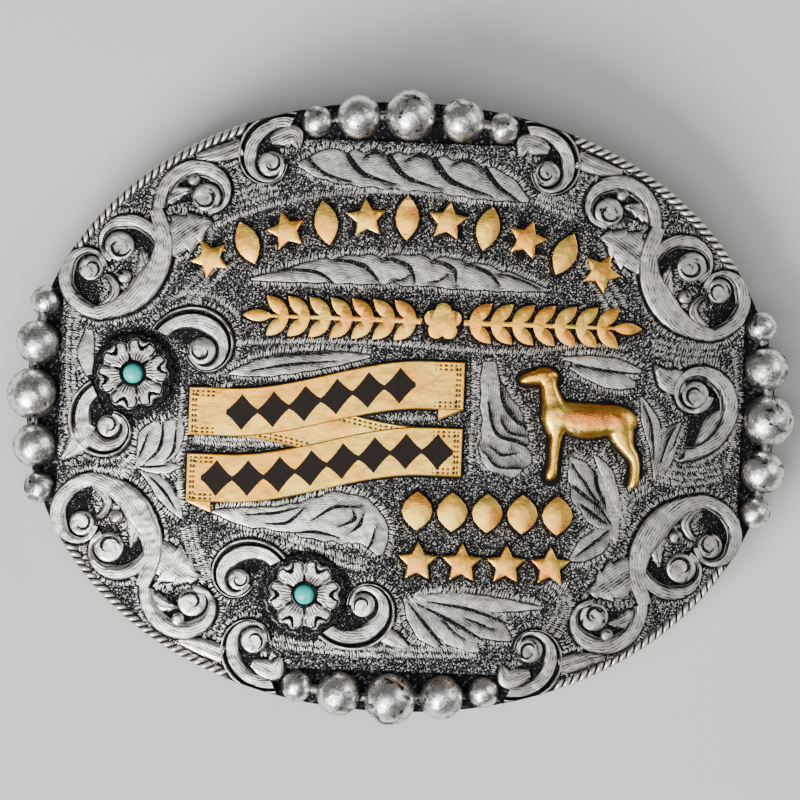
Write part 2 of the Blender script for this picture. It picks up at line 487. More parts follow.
class Relief:
    """Collects closed surfaces in plan millimetres, with a grain map that runs along and across them
    and a share of tarnish at each point, and bends them onto the face when they become a mesh."""

    def __init__(self, inset=0.0):
        self.points, self.faces, self.grain, self.dark = [], [], [], []
        self.count, self.inset = 0, inset

    def add(self, x, y, h, u, v, dark, faces, bend=True):
        """Adds points with their grain and tarnish, and the faces between them."""
        if self.inset and bend:
            x, y = within(x, y, self.inset)
        plan = x.ravel(), y.ravel(), h.ravel()
        self.points.append(on_face(*plan) if bend else np.stack(plan, -1))
        self.grain.append(np.stack([np.broadcast_to(g, x.shape).ravel() for g in (u, v)], 1))
        self.dark.append(np.broadcast_to(dark, x.shape).ravel())
        self.faces += faces
        self.count += x.size

    def skin(self, x, y, h, u, v, dark, ends=True, bend=True, rows_close=False):
        """Quads between the rows of a grid of points whose columns close on themselves, with a face at
        each end. The rows run along the piece; the grid is turned over where it would face inwards."""
        m, n = x.shape
        idx = self.count + np.arange(m * n).reshape(m, n)
        a, b = (idx, np.roll(idx, -1, 0)) if rows_close else (idx[:-1], idx[1:])
        quads = np.stack([a, b, np.roll(b, -1, 1), np.roll(a, -1, 1)], -1).reshape(-1, 4)
        caps = [] if rows_close or not ends else [idx[0].tolist(), idx[-1][::-1].tolist()]
        p = np.stack([x, y, h], -1)
        q = p if not rows_close else np.concatenate([p, p[:1]])
        w = np.cross(q[1:] - q[:-1], np.roll(q, -1, 1)[:-1] - q[:-1])
        out = q[:-1] - q[:-1].mean(1, keepdims=True)
        if (w * out).sum() < 0:
            quads, caps = quads[:, ::-1], [c[::-1] for c in caps]
        self.add(x, y, h, u, v, dark, quads.tolist() + caps, bend)

    def walled(self, x, y, h, u, v, dark, foot):
        """A skin over a grid of points, with a dark wall at each side that goes down to its foot."""
        x, y, u, v = (np.pad(g, ((0, 0), (1, 1)), "edge") for g in (x, y, u, v))
        h = np.concatenate([foot[:, :1], h, foot[:, -1:]], 1)
        self.skin(x, y, h, u, v, np.pad(dark, ((0, 0), (1, 1)), constant_values=1))

    def strip(self, left, right, top, form, columns=None, outline=0.0):
        """A strip from its right to its left edge: the point at v across is their mean plus v times
        half their difference, at the form's share of the top height, closed by a face underneath.
        With an outline, a flat black strip that is wider by that much lies under it."""
        mid, half = halves(left, right)
        size = np.linalg.norm(half, axis=1)[:, None]
        if outline:
            wide = 1 + outline / np.maximum(size, 0.05)
            self.strip(mid + half * wide, mid - half * wide, LINE_H, flat)
        v = (COLUMNS.get(form, PLAIN) if columns is None else columns)[None, :] + 0 * size
        share, dark = form(v)
        h = top * share * (1 if form is flat else np.minimum(1, (size / 0.5) ** 0.5))
        x = mid[:, :1] + half[:, :1] * v
        y = mid[:, 1:] + half[:, 1:] * v
        self.walled(x, y, h, along(mid)[:, None] + 0 * v, v * size, dark, ground(x, y))

    def dome(self, at, r, foot, top, dark=None, rings=7, around=26, ring_dark=0.8):
        """A round boss: at the share t of the radius its height is foot plus the rise times the root of
        one minus t to the fifth, and a wall goes down from its rim into what carries it. Its grain runs
        in rings about a point beside its middle, as a cut spiral does."""
        t = np.append(np.sin(np.linspace(0, 0.5, rings) * math.pi), 1)[:, None]
        a = circle(around)[None, :]
        t[0] = 0.02
        x, y = at[0] + r * t * np.cos(a), at[1] + r * t * np.sin(a)
        h = foot + (top - foot) * np.clip(1 - t**5, 0, 1) ** 0.5 + 0 * a
        h[-1] = ground(x[-1], y[-1])
        shade = (t > 0.97) * ring_dark if dark is None else dark
        off = np.hypot(r * t * np.cos(a) + 0.4 * r, r * t * np.sin(a) + 0.25 * r)
        self.skin(x, y, h, 0 * off, off * 0.35, shade + 0 * x)

    def comb(self, edge, side, seed, pitch=0.36, length=0.8, start=0.32, height=0.08, lean=0.0):
        """Short bright cuts beside an edge: at each step along it a low flat lozenge that reaches away
        from it, each a little longer or shorter than the last, from a seeded draw."""
        d = along(edge)
        if d[-1] < pitch * 3:
            return
        rng = np.random.default_rng(seed)
        at = np.arange(pitch, d[-1] - pitch / 2, pitch)
        at = at + rng.uniform(-0.09, 0.09, len(at))
        p, n = (np.stack([np.interp(at, d, g[:, i]) for i in (0, 1)], 1) for g in (edge, across(edge) * side))
        n = unit(n, 1e-6)
        t = np.stack([n[:, 1], -n[:, 0]], 1)
        n = n + t * (lean + rng.uniform(-0.22, 0.22, (len(at), 1)))
        far = length * rng.uniform(0.55, 1.15, (len(at), 1))
        near = p + n * (start + rng.uniform(-0.05, 0.1, (len(at), 1)))
        wide = 0.085 + 0.045 * rng.uniform(0, 1, (len(at), 1))
        widest = near + n * far * 0.4
        pts = np.stack([near, widest + t * wide, near + n * far, widest - t * wide], 1)
        pts = pts[(np.abs(pts[:, 0, 1]) < FIELD_H - 0.3) & (np.abs(pts[:, 0, 0]) < FIELD_W - 0.3)]
        if not len(pts):
            return
        pts = np.concatenate([pts, pts], 1)
        h = np.tile([-0.06] * 4 + [height] * 4, (len(pts), 1))
        if np.cross(pts[0, 1] - pts[0, 0], pts[0, 2] - pts[0, 0]) < 0:
            pts = pts[:, [0, 3, 2, 1, 4, 7, 6, 5]]
        box = np.array([[4, 5, 6, 7], [3, 2, 1, 0], [0, 1, 5, 4], [1, 2, 6, 5], [2, 3, 7, 6], [3, 0, 4, 7]])
        faces = (self.count + 8 * np.arange(len(pts))[:, None, None] + box).reshape(-1, 4)
        self.add(pts[..., 0], pts[..., 1], h, 0.0, 0.0, 0.0, faces.tolist())

    def plaque(self, ring, top=LINE_H):
        """A thin dark plate under an ornament: its outline raised from inside the ground."""
        x, y = (np.tile(ring[:, i], (2, 1)) for i in (0, 1))
        self.skin(x, y, np.array([[-0.2], [top]]) + 0 * x, x, y, 1.0)

    def tube(self, path, radius, dark=0.0, away=None):
        """A round tube along a path in space: at each point a circle in the plane square to the path.
        With a direction away from a core at each point, the side that faces the core is dark."""
        d = unit(np.gradient(path, axis=0))
        n = unit(np.cross(d, (0.0, 0.0, 1.0)))
        b = np.cross(d, n)
        a = circle(12)
        ring = np.cos(a)[None, :, None] * n[:, None] + np.sin(a)[None, :, None] * b[:, None]
        g = path[:, None] + radius * ring
        if away is not None:
            dark = smooth(0.72, 0.12, ((g - path[:, None]) * away[:, None]).sum(-1) / radius)
        x, y, z = (g[..., i] for i in range(3))
        self.skin(x, y, z, along(path)[:, None], a[None, :] * radius, dark + 0 * x, bend=False)


def make_piece(name, relief, material, replaced=(), sharp=38):
    """Makes a mesh of what a relief has collected, with its grain map and tarnish, and gives it a
    finish, the body that it rides on and the nodes that it stands for."""
    points = np.concatenate(relief.points)
    mesh = bpy.data.meshes.new(name)
    mesh.from_pydata(points.tolist(), [], relief.faces)
    loops = np.empty(len(mesh.loops), np.int32)
    mesh.loops.foreach_get("vertex_index", loops)
    grain = mesh.uv_layers.new(name="grain")
    grain.data.foreach_set("uv", np.concatenate(relief.grain)[loops].astype(np.float32).ravel())
    dark = mesh.attributes.new("tarnish", "FLOAT", "POINT")
    dark.data.foreach_set("value", np.concatenate(relief.dark).astype(np.float32))
    mesh.shade_smooth()
    mesh.set_sharp_from_angle(angle=math.radians(sharp))
    mesh.update()
    if mesh.validate():
        raise RuntimeError(name + " has a broken face")
    piece = bpy.data.objects.new(name, mesh)
    bpy.context.scene.collection.objects.link(piece)
    piece.data.materials.append(material)
    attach(piece, "root")
    if replaced:
        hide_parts(*replaced)
    return piece


class Wire:
    """A node's output that takes part in sums: each sign adds a Math node."""

    def __init__(self, bench, socket):
        self.bench, self.socket = bench, socket

    def _sum(self, kind, a, b=0.0):
        return self.bench.node("ShaderNodeMath", {"operation": kind}, {0: a, 1: b})

    def __add__(self, o): return self._sum("ADD", self, o)
    def __radd__(self, o): return self._sum("ADD", o, self)
    def __sub__(self, o): return self._sum("SUBTRACT", self, o)
    def __rsub__(self, o): return self._sum("SUBTRACT", o, self)
    def __mul__(self, o): return self._sum("MULTIPLY", self, o)
    def __truediv__(self, o): return self._sum("DIVIDE", self, o)
    def __pow__(self, o): return self._sum("POWER", self, o)
    def sine(self): return self._sum("SINE", self)
    def most(self, o): return self._sum("MAXIMUM", self, o)
    def least(self, o): return self._sum("MINIMUM", self, o)


class Bench:
    """A new material's node tree, with the few things that its finishes are made from."""

    def __init__(self, name, roughness, metallic):
        self.material = bpy.data.materials.new(name)
        self.material.use_nodes = True
        self.tree = self.material.node_tree
        self.shader = self.tree.nodes["Principled BSDF"]
        self.shader.inputs["Roughness"].default_value = roughness
        self.shader.inputs["Metallic"].default_value = metallic

    def node(self, kind, settings=None, inputs=None, out=0):
        """Adds a node: its settings first, then the values or wires of its sockets."""
        made = self.tree.nodes.new(kind)
        for key, value in (settings or {}).items():
            setattr(made, key, value)
        for key, value in (inputs or {}).items():
            if isinstance(value, Wire):
                self.tree.links.new(value.socket, made.inputs[key])
            else:
                made.inputs[key].default_value = value
        return Wire(self, made.outputs[out])

    def set(self, socket, wire):
        self.tree.links.new(wire.socket, self.shader.inputs[socket])

    def place(self):
        """Object coordinates in millimetres."""
        spot = self.node("ShaderNodeTexCoord", out="Object")
        return self.node("ShaderNodeVectorMath", {"operation": "SCALE"}, {0: spot, "Scale": 1000.0})

    def parts(self, vector):
        """The three coordinates of a vector."""
        spread = self.node("ShaderNodeSeparateXYZ", inputs={0: vector})
        return [Wire(self, spread.socket.node.outputs[k]) for k in range(3)]

    def tarnish(self):
        """The share of tarnish that the mesh carries."""
        return self.node("ShaderNodeAttribute", {"attribute_name": "tarnish"}, out="Fac")

    def noise(self, where, scale, detail=2.0, rough=0.5, twist=0.0):
        return self.node("ShaderNodeTexNoise", inputs={
            "Vector": where, "Scale": scale, "Detail": detail, "Roughness": rough, "Distortion": twist})

    def drawn(self, where, stretch, scale):
        """Noise that is drawn out, less along the axes whose stretch is large."""
        return self.noise(self.node("ShaderNodeMapping", inputs={0: where, "Scale": stretch}), scale, 3.0)

    def cells(self, where, scale, feature="F1"):
        return self.node("ShaderNodeTexVoronoi", {"feature": feature}, {"Vector": where, "Scale": scale},
                         "Distance")

    def step(self, wire, low_end, high_end):
        """0 at one end and 1 at the other, eased between them."""
        return self.node("ShaderNodeMapRange", {"interpolation_type": "SMOOTHSTEP"}, {
            "Value": wire, "From Min": low_end, "From Max": high_end})

    def clouds(self, where, low_end, high_end, *noise):
        """Noise that is 0 up to one end and 1 from the other on."""
        return self.step(self.noise(where, *noise), low_end, high_end)

    def distance(self, a, b):
        """The root of the sum of two squares."""
        return (a * a + b * b) ** 0.5

    def blend(self, share, a, b):
        """A colour between two others."""
        pair = {k: (v if isinstance(v, Wire) else (*v[:3], 1)) for k, v in ((6, a), (7, b))}
        return self.node("ShaderNodeMix", {"data_type": "RGBA"}, {0: share, **pair}, out=2)

    def finish(self, colour, roughness, height, strength, distance):
        """Links the shader's colour, roughness and bump, and gives the material."""
        self.set("Base Color", colour)
        self.set("Roughness", roughness)
        self.set("Normal", self.node("ShaderNodeBump", inputs={
            "Height": height, "Strength": strength, "Distance": distance}))
        return self.material


def antique_silver(name, colours, hatch=0.45, patches=0.35, follow=(2.0, 14.96), satin=0.17, farther=0.36):
    """Cast silver, blackened and rubbed back: bright on what stands up, dark where the tarnish share
    is high, in soft patches and in the fine engraved lines that cross it. It is rubbed brightest at the
    lower left, and the tarnish grows with the distance from there."""
    b = Bench(name, 0.3, 1.0)
    spot = b.place()
    u, v, _ = b.parts(b.node("ShaderNodeUVMap", {"uv_map": "grain"}))
    x, y, _ = b.parts(spot)
    lines = ((u * follow[0] + v * follow[1] + b.noise(spot, 0.55, 3.0) * 7.0).sine() * 0.5 + 0.5) ** 3.0
    worn = b.clouds(spot, 0.42, 0.72, 0.9, 4.0, 0.6)
    pits = b.clouds(spot, 0.56, 0.7, 4.5, 3.0, 0.7)
    cloud = b.clouds(spot, 0.4, 0.66, 0.3, 2.0)
    edge = b.tarnish()
    specks = b.step(b.cells(spot, 4.2), 0.3, 0.14) * b.clouds(spot, 0.45, 0.55, 3.0)
    specks = specks * b.step(edge, 0.9, 0.97)
    share = edge + lines * (worn * hatch * 1.5 + 0.14) + pits * patches * 0.6 + (worn + cloud) * patches * 0.3
    away = b.distance(x - BRIGHTEST_AT[0], y - BRIGHTEST_AT[1])
    share = (share + b.step(away, 20.0, 62.0) * farther).least(1.0) - specks * 0.45
    shade = b.blend(b.noise(spot, 0.25), colours.silver, colours.silver_warm)
    height = 1.0 - lines * 0.5 - pits * 0.6 + b.noise(spot, 9.0) * 0.2 + b.noise(spot, 0.3) * 16.0
    return b.finish(b.blend(share, shade, colours.oxide), satin + share * 0.42 + b.noise(spot, 12.0) * 0.1,
                    height, 0.4, 0.00008)


def bead_silver(colours):
    """Bright silver balls that were blackened and rubbed: bright above, with dark dents and scuffs,
    and black low down between them."""
    b = Bench("bead_silver", 0.15, 1.0)
    spot = b.place()
    dents = b.clouds(spot, 0.5, 0.64, 0.42, 4.0, 0.62, 0.8)
    scuffs = b.clouds(spot, 0.55, 0.7, 2.4, 4.0, 0.7)
    high = b.clouds(spot, 0.52, 0.66, 0.9, 3.0, 0.6, 0.4)
    share = (b.tarnish() + dents * 0.75 + high * 0.45 + scuffs * 0.5).least(1.0)
    roughness = 0.2 + share * 0.25 + b.noise(spot, 6.0) * 0.1
    return b.finish(b.blend(share, colours.silver, colours.oxide), roughness,
                    b.noise(spot, 1.2, 4.0, 0.6) - scuffs * 0.3, 0.4, 0.0002)


def stippled_ground(colours):
    """The plate: on the raised field and its flange black oxide with bright punch marks, a pattern of
    cells whose rims catch the light, and plain brushed silver at the edge and on the back."""
    b = Bench("stippled_ground", 0.4, 1.0)
    spot = b.place()
    x, _, z = b.parts(spot)
    r = b.distance(x, z - AXIS_Z)
    field = b.step(r, FIELD_R - 0.25, FIELD_R - 0.12)
    top = b.step(r, FLANGE_R - 0.1, FLANGE_R - 0.03)
    flecks = b.step(b.cells(spot, 2.9), 0.44, 0.24) * b.clouds(spot, 0.38, 0.56, 3.2, 1.0)
    flecks = flecks.most(b.step(b.cells(spot, 5.0), 0.42, 0.2) * b.clouds(spot, 0.4, 0.58, 5.6, 1.0) * 0.8)
    share = (flecks * (0.15 + b.noise(spot, 0.5, 3.0, 0.6) * 1.1)).least(1.0)
    punched = b.blend(share, colours.oxide, colours.silver)
    brushed = b.blend(b.clouds(spot, 0.4, 0.7, 0.5, 4.0, 0.65), colours.silver, colours.silver_worn)
    low_top = b.blend(b.clouds(spot, 0.55, 0.68, 2.2, 3.0, 0.6) * 0.5, colours.oxide, colours.silver_worn)
    return b.finish(b.blend(field, b.blend(top, brushed, low_top), punched),
                    0.3 + (top * (1.0 - share)) * 0.3 + b.noise(spot, 8.0) * 0.1,
                    share * top + b.noise(spot, 30.0) * 0.08, 0.6, 0.00012)


def bronze(name, colours, heat, stitched=False, flank=None, satin=0.2):
    """Jeweller's bronze: brushed, a little mottled, with an orange heat tint in soft clouds. Where a
    flank is given, by its place and half sizes, one more cloud's share falls off from there."""
    b = Bench(name, 0.26, 1.0)
    spot = b.place()
    x, y, _ = b.parts(spot)
    shade = b.blend(b.clouds(spot, 0.35, 0.65, 0.14, 2.0), colours.bronze, colours.bronze_light)
    tint = b.clouds(spot, 0.46, 0.68, 0.32, 2.0, 0.5, 0.6) * heat
    if flank:
        flank_x, flank_y, half_x, half_y = flank
        off = ((x - flank_x) / half_x) ** 2.0 + ((y - flank_y) / half_y) ** 2.0 + b.noise(spot, 0.6, 3.0)
        tint = tint.most(b.step(off, 1.7, 0.9) * 0.75)
    scratch = b.drawn(spot, (0.6, 9.0, 1.0), 1.6)
    share = b.clouds(spot, 0.64, 0.74, 5.0, 3.0, 0.7) * 0.3
    if stitched:
        share = share.most(b.tarnish())
    return b.finish(b.blend(share, b.blend(tint, shade, colours.heat), colours.oxide),
                    satin + scratch * 0.16 + share * 0.3,
                    scratch + b.noise(spot, 14.0) * 0.4 + b.noise(spot, 0.35) * 10.0, 0.3, 0.00006)


def turquoise(colours):
    """Polished turquoise: blue-green clouds with thin dark matrix lines and a clear gloss."""
    b = Bench("turquoise", 0.22, 0.0)
    b.shader.inputs["Coat Weight"].default_value = 0.15
    spot = b.place()
    shade = b.blend(b.noise(spot, 1.1, 4.0, 0.6), colours.stone, colours.stone_light)
    vein = b.step(b.cells(spot, 1.0, "DISTANCE_TO_EDGE"), 0.035, 0.0) * b.clouds(spot, 0.45, 0.6, 1.6)
    return b.finish(b.blend(vein * 0.8, shade, colours.oxide), 0.18 + b.noise(spot, 6.0) * 0.12,
                    b.noise(spot, 3.0) - vein, 0.15, 0.00005)


def black_enamel(colours):
    """Black fill with a faint brown cast, dull where it has shrunk and glossy between."""
    b = Bench("black_enamel", 0.35, 0.0)
    b.shader.inputs["Specular IOR Level"].default_value = 0.1
    spot = b.place()
    return b.finish(b.blend(b.noise(spot, 1.4, 3.0), colours.enamel, colours.enamel_brown),
                    0.25 + b.noise(spot, 4.0, 3.0) * 0.3, b.noise(spot, 6.0, 3.0), 0.2, 0.00006)


def satin_hardware(colours):
    """Nickel silver of the loop and hook: satin, with fine draw lines along the wire."""
    b = Bench("satin_hardware", 0.35, 1.0)
    spot = b.place()
    lines = b.drawn(spot, (1.0, 6.0, 6.0), 1.4)
    worn = b.clouds(spot, 0.45, 0.75, 0.35, 3.0)
    return b.finish(b.blend(worn * 0.5, colours.silver, colours.silver_worn), 0.28 + lines * 0.2,
                    lines, 0.25, 0.00006)


def colour(name, about, value):
    """A colour that a user can change."""
    return FloatVectorProperty(name=name, description=about, default=value, subtype="COLOR", size=3, min=0,
                               max=1)


def length(name, about, value):
    """A length in millimetres that a user can change."""
    return FloatProperty(name=name, description=about, unit="LENGTH", default=value * MM, min=0, precision=5)


class BuckleColours(bpy.types.PropertyGroup):
    """Colours of the buckle's finishes"""
    silver: colour("Silver", "Rubbed silver of castings and beads", (0.93, 0.905, 0.86))
    silver_warm: colour("Warm silver", "Silver where it has toned a little", (0.86, 0.8, 0.71))
    silver_worn: colour("Worn silver", "Grey of handled silver on the back and edges", (0.4, 0.4, 0.39))
    oxide: colour("Oxide", "Black of the ground and the grooves", (0.012, 0.012, 0.013))
    bronze: colour("Bronze", "Gold colour of ornaments, ribbon and lamb", (1.0, 0.48, 0.06))
    bronze_light: colour("Light bronze", "Paler bronze where it is polished", (1.0, 0.66, 0.12))
    heat: colour("Heat tint", "Orange of the heat clouds on the bronze", (1.0, 0.25, 0.06))
    stone: colour("Stone", "Deep colour of the turquoise", (0.02, 0.5, 0.46))
    stone_light: colour("Light stone", "Light clouds of the turquoise", (0.1, 0.74, 0.66))
    enamel: colour("Enamel", "Black fill of the ribbon's pattern", (0.008, 0.006, 0.005))
    enamel_brown: colour("Brown enamel", "Where the fill is thin", (0.02, 0.012, 0.008))
    floor: colour("Floor", "Pale floor of the stage", (0.62, 0.615, 0.6))


class BuckleSizes(bpy.types.PropertyGroup):
    """Sizes of the dressed relief"""
    band: length("Band height", "Height of the scrolls' bands above the field", 1.3)
    leaf: length("Leaf height", "Height of the cast leaves above the field", 1.05)
    eye: length("Eye height", "Height of the scrolls' eyes above the field", 1.7)
    engraved: length("Engraved height", "Height of the engraved leaves", 0.16)
    outline: length("Dark outline", "Width of the blackened line round each casting", 0.28)
    rope: length("Rope", "Diameter of the twisted edge wire", 1.3)
    dent: length("Dents", "Depth of the dents in the beads", 0.07)
    ribbon: length("Ribbon height", "Height of the ribbon's bands above the field", 0.88)


def sizes(context):
    """The sizes that a user would change, in millimetres."""
    return {k: getattr(context.scene.buckle_sizes, k) / MM for k in BuckleSizes.__annotations__}


def colours(context):
    """The colours that a user would change."""
    return context.scene.buckle_colours


def cast_silver(context):
    """The castings' finish, made when it is first asked for."""
    return bpy.data.materials.get("cast_silver") or antique_silver("cast_silver", colours(context))


def finish_nodes(names, material):
    """Gives nodes that are shown as they are a finish."""
    for name in names:
        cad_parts[name].data.materials[0] = material


def add_scroll(relief, q, size, at, flip, z, form, seed, wide):
    """A scroll: its floor, its band, and its eye with a dark groove round it, and a spiral cut that goes
    on from the band's end into the eye, its radius falling evenly from 0.8 to 0.3 of the eye's."""
    outer, inner = scroll_edges(q, size, at, flip, wide)
    eye, r, top = (np.array(q[:2]) * size + at) * np.array(flip), q[2] * size, z["eye"] * 0.72
    floor = halves(outer, inner)[0][-70:] - eye
    relief.strip(eye + floor * 0.97, eye + floor * 0.12, 0.3, flat, np.linspace(-1, 1, 4))
    relief.strip(outer, inner, z["band"], form, outline=z["outline"])
    relief.comb(outer[len(outer) // 4:], -np.sign(q[4] * flip[0] * flip[1]), seed)
    relief.dome(eye, r, 1.02, top, ring_dark=0.2)
    s = np.linspace(0, 1, 22)[:, None]
    turn = np.radians(q[3] + q[4] + math.copysign(250, q[4]) * s)
    line = eye + np.hstack([np.cos(turn), np.sin(turn)]) * (r * (0.8 - 0.5 * s)) * np.array(flip)
    cut = across(line) * (0.13 * r * np.sin((0.1 + 0.9 * s) * math.pi))
    relief.strip(line + cut, line - cut, top + 0.01, flat)


def add_leaf(relief, rows, size, at, flip, z, seed, form=veined, teeth=0):
    """A leaf or stem. Where it has teeth, its half width is times 1.04 at the start of each tooth and
    falls evenly to times 0.77 at its end."""
    left, right = leaf_edges(rows, 14 if teeth else 7, size, at, flip)
    if teeth:
        mid, half = halves(left, right)
        cut = 1.04 - 0.27 * ((np.linspace(0, 1, len(mid))[:, None] * teeth) % 1.0)
        left, right = mid + half * cut, mid - half * cut
    relief.strip(left, right, z["leaf"], form, outline=z["outline"])
    for edge, side in ((left, 1), (right, -1)):
        relief.comb(edge, side * flip[0] * flip[1], seed)


def scroll_casting(context, name, node, q, leaves, at, flip, inset, wide, seed, form=rimmed):
    """A casting of one scroll with its leaves, which takes a node's place."""
    z, relief = sizes(context), Relief(inset)
    add_scroll(relief, q, SCROLL_SIZE, at, flip, z, form, seed, wide)
    for k, rows in enumerate(leaves):
        add_leaf(relief, rows, SCROLL_SIZE, at, flip, z, seed + 1 + k)
    make_piece(name, relief, cast_silver(context), [node])


class BUCKLE_OT_plate(bpy.types.Operator):
    """Gives the plate its stippled black ground and its brushed edge and back"""
    bl_idname = "buckle.plate"
    bl_label = "Plate"

    def execute(self, context):
        finish_nodes(["base_plate"], stippled_ground(colours(context)))
        return {"FINISHED"}


class BUCKLE_OT_beads(bpy.types.Operator):
    """Four rows of dented silver beads, joined by a wire"""
    bl_idname = "buckle.beads"
    bl_label = "Bead rows"

    def execute(self, context):
        """A bead is a ball whose radius is lessened by a sum of sines of its direction, cut off flat
        where it meets the flange."""
        dent, finish = sizes(context)["dent"], bead_silver(colours(context))
        a, b, c = BEAD_SIZES
        next_at = (a + b) / 2 + BEAD_GAP
        places = [0, next_at, next_at + (b + c) / 2 + BEAD_GAP]
        lat = np.linspace(0.03, math.pi - 0.03, 30)[:, None]
        lon = circle(44)[None, :]
        n = np.stack([np.sin(lat) * np.cos(lon), np.sin(lat) * np.sin(lon), np.cos(lat) + 0 * lon], -1)
        dark = 0.85 * smooth(0.12, -0.05, n[..., 2]) + 0.35 * smooth(0.55, 0.2, n[..., 2])
        rng = np.random.default_rng(11)
        for side, (sx, sy) in SIDES.items():
            relief, centres = Relief(), []
            for i in range(-2, 3):
                d, go = BEAD_SIZES[abs(i)], np.sign(i) * places[abs(i)]
                off = SIDE_GAP + d / 2
                x, y = (sx * (FIELD_W + off), go) if sx else (go, sy * (FIELD_H + off))
                turn, r = math.asin(x / FIELD_R), FLANGE_R + SEAT + BEAD_LIFT * d
                middle = np.array([r * math.sin(turn), y, AXIS_Z + r * math.cos(turn)])
                centres.append(middle * MM)
                k = rng.normal(0, 1, (7, 3)) * np.array([[2.2]] * 3 + [[4.5]] * 4)
                waves = np.sin(n @ k.T + rng.uniform(0, 6.3, 7)) @ np.array([0.6] * 3 + [0.35] * 4)
                p = middle + n * (d / 2 - dent * (0.5 + 0.5 * np.tanh(waves)))[..., None]
                lift = np.maximum(1, (FLANGE_R - 0.05) / np.hypot(p[..., 0], p[..., 2] - AXIS_Z))
                p[..., 0] *= lift
                p[..., 2] = AXIS_Z + (p[..., 2] - AXIS_Z) * lift
                relief.skin(*(p[..., j] * MM for j in range(3)), d * lon, d * lat, dark, bend=False)
            for p, q in zip(centres[:-1], centres[1:]):
                relief.tube(np.linspace(p, q, 3), BEAD_WIRE / 2 * MM, 0.7)
            make_piece("bead_row_dressed_" + side, relief, finish, ["bead_row_" + side], sharp=50)
        return {"FINISHED"}


class BUCKLE_OT_ropes(bpy.types.Operator):
    """Two wires twisted together along the edge, four times"""
    bl_idname = "buckle.ropes"
    bl_label = "Rope edges"

    def execute(self, context):
        """The rope follows the plate's outline, moved in by half its width: half axes times the cosine
        and sine of the angle to the power two over the outline's. Each wire circles it by a quarter of
        the rope's width, half a turn from the other."""
        d = sizes(context)["rope"]
        finish = antique_silver("rope_silver", colours(context), hatch=0.0, patches=0.08, satin=0.3,
                                farther=0.08)
        a = np.radians(np.linspace(*ROPE_ENDS, 400))
        x = (HALF_W - d / 2) * np.cos(a) ** (2 / SQUARE)
        y = (HALF_H - d / 2) * np.sin(a) ** (2 / SQUARE)
        far = along(np.stack([x, y], 1))
        go = np.linspace(0, far[-1], int(far[-1] * 9))
        x, y = np.interp(go, far, x), np.interp(go, far, y)
        for name, (sx, sy) in QUARTERS.items():
            relief = Relief()
            path = on_face(sx * x, sy * y, FLANGE + SEAT + d * 0.55 + 0 * x)
            up = unit(np.stack([path[:, 0], 0 * x, path[:, 2] - AXIS_Z * MM], 1))
            side = np.cross(unit(np.gradient(path, axis=0)), up)
            for wire in (0, math.pi):
                turn = go * (2 * math.pi / ROPE_TWIST) + wire
                ring = np.cos(turn)[:, None] * side + np.sin(turn)[:, None] * up
                relief.tube(path + ring * (d * 0.25 * MM), d * 0.31 * MM, away=ring)
            make_piece("rope_dressed_" + name, relief, finish, ["rope_edge_" + name], sharp=60)
        return {"FINISHED"}


class BUCKLE_OT_corners(bpy.types.Operator):
    """The four corner castings: three scrolls on a stem, leaves between them, balls and curls"""
    bl_idname = "buckle.corners"
    bl_label = "Corner castings"

    def execute(self, context):
        z = sizes(context)
        for name, flip in QUARTERS.items():
            relief, spot = Relief(inset=0.25), (CORNER_SIZE, CORNER_AT, flip)
            for k, q in enumerate(CORNER_SCROLLS):
                under = {**z, "band": z["band"] * (0.95 if k == 1 else 1)}
                add_scroll(relief, q, *spot, under, crowned, 20 + k, wide=1.25)
            add_leaf(relief, CORNER_STEM, *spot, {**z, "leaf": z["band"]}, 30, smooth_top)
            for k, (rows, teeth) in enumerate(zip(CORNER_LEAVES, CORNER_TEETH)):
                add_leaf(relief, rows, *spot, z, 31 + k, veined, teeth)
            for x, y, r in CORNER_KNOBS:
                at = (np.array([x, y]) * CORNER_SIZE + CORNER_AT) * np.array(flip)
                relief.dome(at, r * CORNER_SIZE, 0.7, z["band"] + 0.2)
            make_piece("corner_casting_" + name, relief, cast_silver(context),
                       ["corner_scroll_" + name])
        return {"FINISHED"}


class BUCKLE_OT_shoulders(bpy.types.Operator):
    """The four small scrolls beside the upper and lower bead rows"""
    bl_idname = "buckle.shoulders"
    bl_label = "Shoulder scrolls"

    def execute(self, context):
        for name, flip in QUARTERS.items():
            scroll_casting(context, "shoulder_casting_" + name, "shoulder_scroll_" + name, SHOULDER_SCROLL,
                           [SHOULDER_LEAF], SHOULDER_AT, flip, inset=0.2, wide=1.4, seed=41)
        return {"FINISHED"}


class BUCKLE_OT_side(bpy.types.Operator):
    """The single scroll on the right, with its tail and leaf"""
    bl_idname = "buckle.side"
    bl_label = "Side scroll"

    def execute(self, context):
        scroll_casting(context, "side_casting", "side_scroll", SIDE_SCROLL, SIDE_LEAVES, SIDE_AT, (1, 1),
                       inset=1.1, wide=1.6, seed=51, form=crowned)
        return {"FINISHED"}


